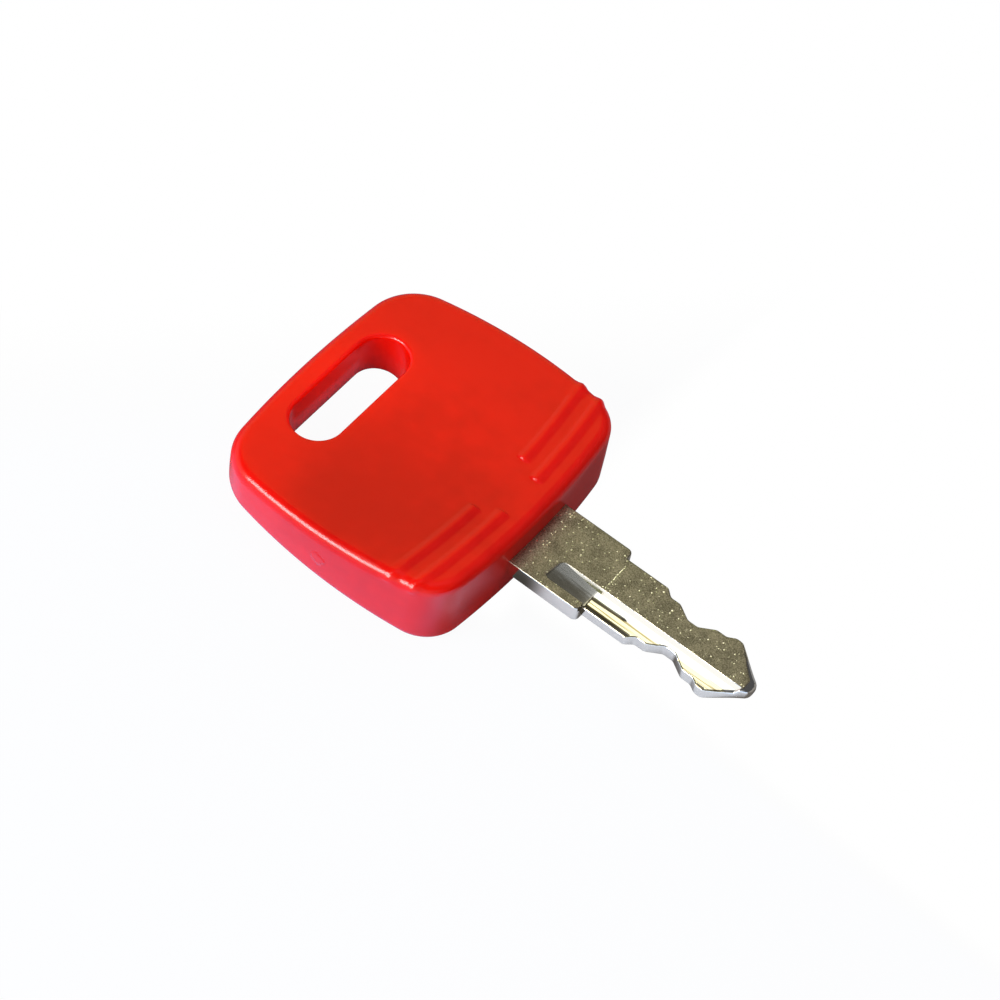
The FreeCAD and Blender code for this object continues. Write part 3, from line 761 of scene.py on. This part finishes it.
def makePaper(setup):
    # lit paper that is nearly plain white to the camera, carrying painted light: a painted shadow before the
    # head, a dark painted reflection far behind, painted shade in reflections close to the head, a painted
    # blue glow to the left and under the slot, and a painted white sheen to the right
    material = bpy.data.materials.new("floorPaper")
    material.use_nodes = True
    tree = material.node_tree
    tree.nodes.clear()
    rays = addNode(tree, "ShaderNodeLightPath").outputs
    once = combine(tree, "LESS_THAN", rays["Glossy Depth"], setup["mirrorOnce"])
    mirrored = larger(tree, rays["Is Glossy Ray"], rays["Is Transmission Ray"])
    place = addNode(tree, "ShaderNodeTexCoord").outputs["Object"]
    axes = addNode(tree, "ShaderNodeSeparateXYZ", {"Vector": place}).outputs

    def reached(axis, part):
        return rampUp(tree, axes[axis], *setup[part])

    # where the paper is painted dark: a painted shadow before the head, and a dark painted reflection far
    # behind
    nearHead = times(tree, reached("X", "nearX"), reached("Y", "nearRight"))
    nearBlade = reached("Y", "nearY")
    reachY = larger(tree, reached("Y", "frontY"), times(tree, nearHead, nearBlade))
    before = times(tree, reached("X", "frontX"), reachY)
    behind = rampUp(tree, alongWay(tree, place, setup["farWay"]), *setup["farStart"])
    far = larger(tree, behind, before)

    # how much of it glows, to the camera and in reflections; in reflections the painted glows are blue to the
    # left and under the slot, and white to the right
    toCamera = times(tree, rays["Is Camera Ray"], between(tree, far, setup["cameraGlow"], 1.0))
    underSlot = times(tree, reached("X", "slotX"), setup["paintedSlotShare"])
    left = times(tree, larger(tree, reached("Y", "leftY"), underSlot), once)
    # painted sheen: white in reflections to the right
    right = times(tree, times(tree, reached("X", "rightX"), reached("Y", "rightY")), once)
    inMirror = larger(tree, between(tree, left, setup["mirrorGlow"], setup["paintedBlueShare"]),
                      times(tree, right, setup["paintedSheenShare"]))
    share = larger(tree, toCamera, times(tree, mirrored, inMirror))
    shine = mixColour(tree, times(tree, left, mirrored), setup["white"], setup["paintedBlueGlow"])

    # the sheet's colour: the painted dark paper, then painted shade in reflections close to the head and in
    # reflections of reflections
    shade = times(tree, nearHead, between(tree, nearBlade, setup["mirrorShade"], 1.0))
    shaded = larger(tree, shade, combine(tree, "SUBTRACT", 1.0, once))
    sheet = mixColour(tree, far, setup["paper"], setup["paintedDarkPaper"])
    sheet = mixColour(tree, times(tree, mirrored, shaded), sheet, setup["black"])
    paper = addNode(tree, "ShaderNodeBsdfDiffuse", {"Color": sheet}).outputs[0]
    glow = addNode(tree, "ShaderNodeEmission", {"Color": shine, "Strength": 1.0}).outputs[0]
    mixed = addNode(tree, "ShaderNodeMixShader", {0: share, 1: paper, 2: glow})
    addNode(tree, "ShaderNodeOutputMaterial", {"Surface": mixed.outputs[0]})
    return material


skySetup = {
    "ambient": (0.08, 0.08, 0.09, 1.0),      # what matt surfaces gather from all round
    "frontFill": (0.80, 0.775, 0.75, 1.0),   # and from above in front of the blade
    "fillWay": (0.22, 0.42, 0.88),
    "fillRange": (0.45, 0.95),
    "dark": (0.07, 0.07, 0.075, 1.0),        # what reflections show
    "bright": (1.0, 1.04, 1.1, 1.0),         # low down towards one side
    "brightWay": (-0.45, -0.85, 0.05),
    "brightRange": (-0.3, 0.9),
    "brightHeight": (0.7, 0.35),
    "back": (0.36, 0.46, 0.18, 1.0),         # what the head's face mirrors
    "backX": (-0.15, -0.36),
    "backY": (0.1, 0.35),
    "top": (0.30, 0.30, 0.31, 1.0),
    "topHeight": (0.93, 0.99),
}


def makeWorld(setup):
    # soft light on matt surfaces, stronger from above in front; reflections see a sky that is bright
    # low down towards one side, dimmer behind and overhead, and dark elsewhere
    world = bpy.data.worlds.new("studio")
    world.use_nodes = True
    tree = world.node_tree
    tree.nodes.clear()
    way = addNode(tree, "ShaderNodeTexCoord").outputs["Generated"]
    axes = addNode(tree, "ShaderNodeSeparateXYZ", {"Vector": way}).outputs
    fill = rampUp(tree, alongWay(tree, way, setup["fillWay"]), *setup["fillRange"])
    matt = mixColour(tree, fill, setup["ambient"], setup["frontFill"])
    brightSide = rampUp(tree, alongWay(tree, way, setup["brightWay"]), *setup["brightRange"])
    lowDown = rampUp(tree, axes["Z"], *setup["brightHeight"])
    behind = times(tree, rampUp(tree, axes["X"], *setup["backX"]), rampUp(tree, axes["Y"], *setup["backY"]))
    mirrored = mixColour(tree, behind, setup["dark"], setup["back"])
    mirrored = mixColour(tree, rampUp(tree, axes["Z"], *setup["topHeight"]), mirrored, setup["top"])
    mirrored = mixColour(tree, times(tree, brightSide, lowDown), mirrored, setup["bright"])
    glossy = addNode(tree, "ShaderNodeLightPath").outputs["Is Glossy Ray"]
    seen = mixColour(tree, glossy, matt, mirrored)
    sky = addNode(tree, "ShaderNodeBackground", {"Color": seen, "Strength": 1.0})
    addNode(tree, "ShaderNodeOutputWorld", {"Surface": sky.outputs[0]})
    bpy.context.scene.world = world


# metres, watts and degrees; bladeOnly lamps light the blade alone, and mattOnly ones aren't mirrored
lamps = {
    "windowLeft": {"towards": (-0.37, -0.77, 0.52), "distance": 0.6, "size": (0.42, 0.22), "power": 4.0,
                   "colour": (1.0, 0.99, 0.97)},
    "panelLeft": {"towards": (-0.25, -0.51, 0.82), "distance": 0.7, "size": (0.16, 0.16), "power": 0.12,
                  "colour": (1.0, 1.0, 1.0)},
    "panelBack": {"towards": (-0.181, 0.515, 0.837), "distance": 0.7, "size": (0.117, 0.36), "power": 0.17,
                  "colour": (1.0, 1.0, 0.97), "bladeOnly": True},
    "slotLamp": {"towards": (0.76, 0.06, 0.65), "distance": 0.15, "size": (0.010, 0.016), "power": 0.00026,
                 "colour": (1.0, 1.0, 1.0), "aim": (-0.0385, 0.0, 0.001), "spread": 8.0, "mattOnly": True},
    "panelRight": {"towards": (0.16, 0.985, 0.045), "distance": 0.6, "size": (0.3, 0.05), "power": 1.5,
                   "colour": (1.0, 0.97, 0.94), "mattOnly": True},
}


def makeLamps(setups, aim, bladePiece):
    bladeGroup = bpy.data.collections.new("bladeGroup")
    bladeGroup.objects.link(bladePiece)
    for name, setup in setups.items():
        lamp = bpy.data.lights.new(name, "AREA")
        lamp.shape = "RECTANGLE"
        lamp.size, lamp.size_y = setup["size"]
        lamp.energy = setup["power"]
        lamp.color = setup["colour"]
        if "spread" in setup:
            lamp.spread = math.radians(setup["spread"])
        holder = bpy.data.objects.new(name, lamp)
        way = Vector(setup["towards"]).normalized()
        holder.location = Vector(setup.get("aim", aim)) + way * setup["distance"]
        holder.rotation_euler = way.to_track_quat("Z", "Y").to_euler()
        bpy.context.scene.collection.objects.link(holder)
        if setup.get("mattOnly"):
            holder.visible_camera = False
            holder.visible_glossy = False
        if setup.get("bladeOnly"):
            holder.light_linking.receiver_collection = bladeGroup


photoView = {
    "target": (-15.505, 1.261, 0.08),
    "azimuth": 27.993,          # from -Y towards +X
    "elevation": 54.545,
    "roll": 11.979,
    "distance": 361.594,
    "lens": 118.07,
    "sensor": 36.0,
    "clipStart": 0.01,
}


def makeCamera(setup, aim):
    azimuth, elevation, roll = (math.radians(setup[part]) for part in ("azimuth", "elevation", "roll"))
    level = math.cos(elevation)
    back = Vector((math.sin(azimuth) * level, -math.cos(azimuth) * level, math.sin(elevation)))
    camera = bpy.data.cameras.new("photoCamera")
    camera.lens = setup["lens"]
    camera.sensor_width = setup["sensor"]
    camera.clip_start = setup["clipStart"]
    holder = bpy.data.objects.new("photoCamera", camera)
    holder.matrix_world = (Matrix.Translation(aim + back * setup["distance"] * mm)
                           @ back.to_track_quat("Z", "Y").to_matrix().to_4x4()
                           @ Matrix.Rotation(roll, 4, "Z"))
    bpy.context.scene.collection.objects.link(holder)
    bpy.context.scene.camera = holder


head = makeHead(headShape, ribShape)
head.data.materials.append(makeRedPlastic(redFinish))
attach(head, "root")
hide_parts("grip_head")

blade = makeBlade(bladeShape, grooveShape)
blade.data.materials.append(makePlate(plateFinish, grooveShape))
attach(blade, "root")
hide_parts("key_blade")
print("pieces dressed")

aimPoint = Vector(photoView["target"]) * mm
makeFloor(floorSetup)
makeWorld(skySetup)
makeLamps(lamps, aimPoint, blade)
makeCamera(photoView, aimPoint)
bpy.context.scene.view_settings.view_transform = "Standard"
print("stage lit")
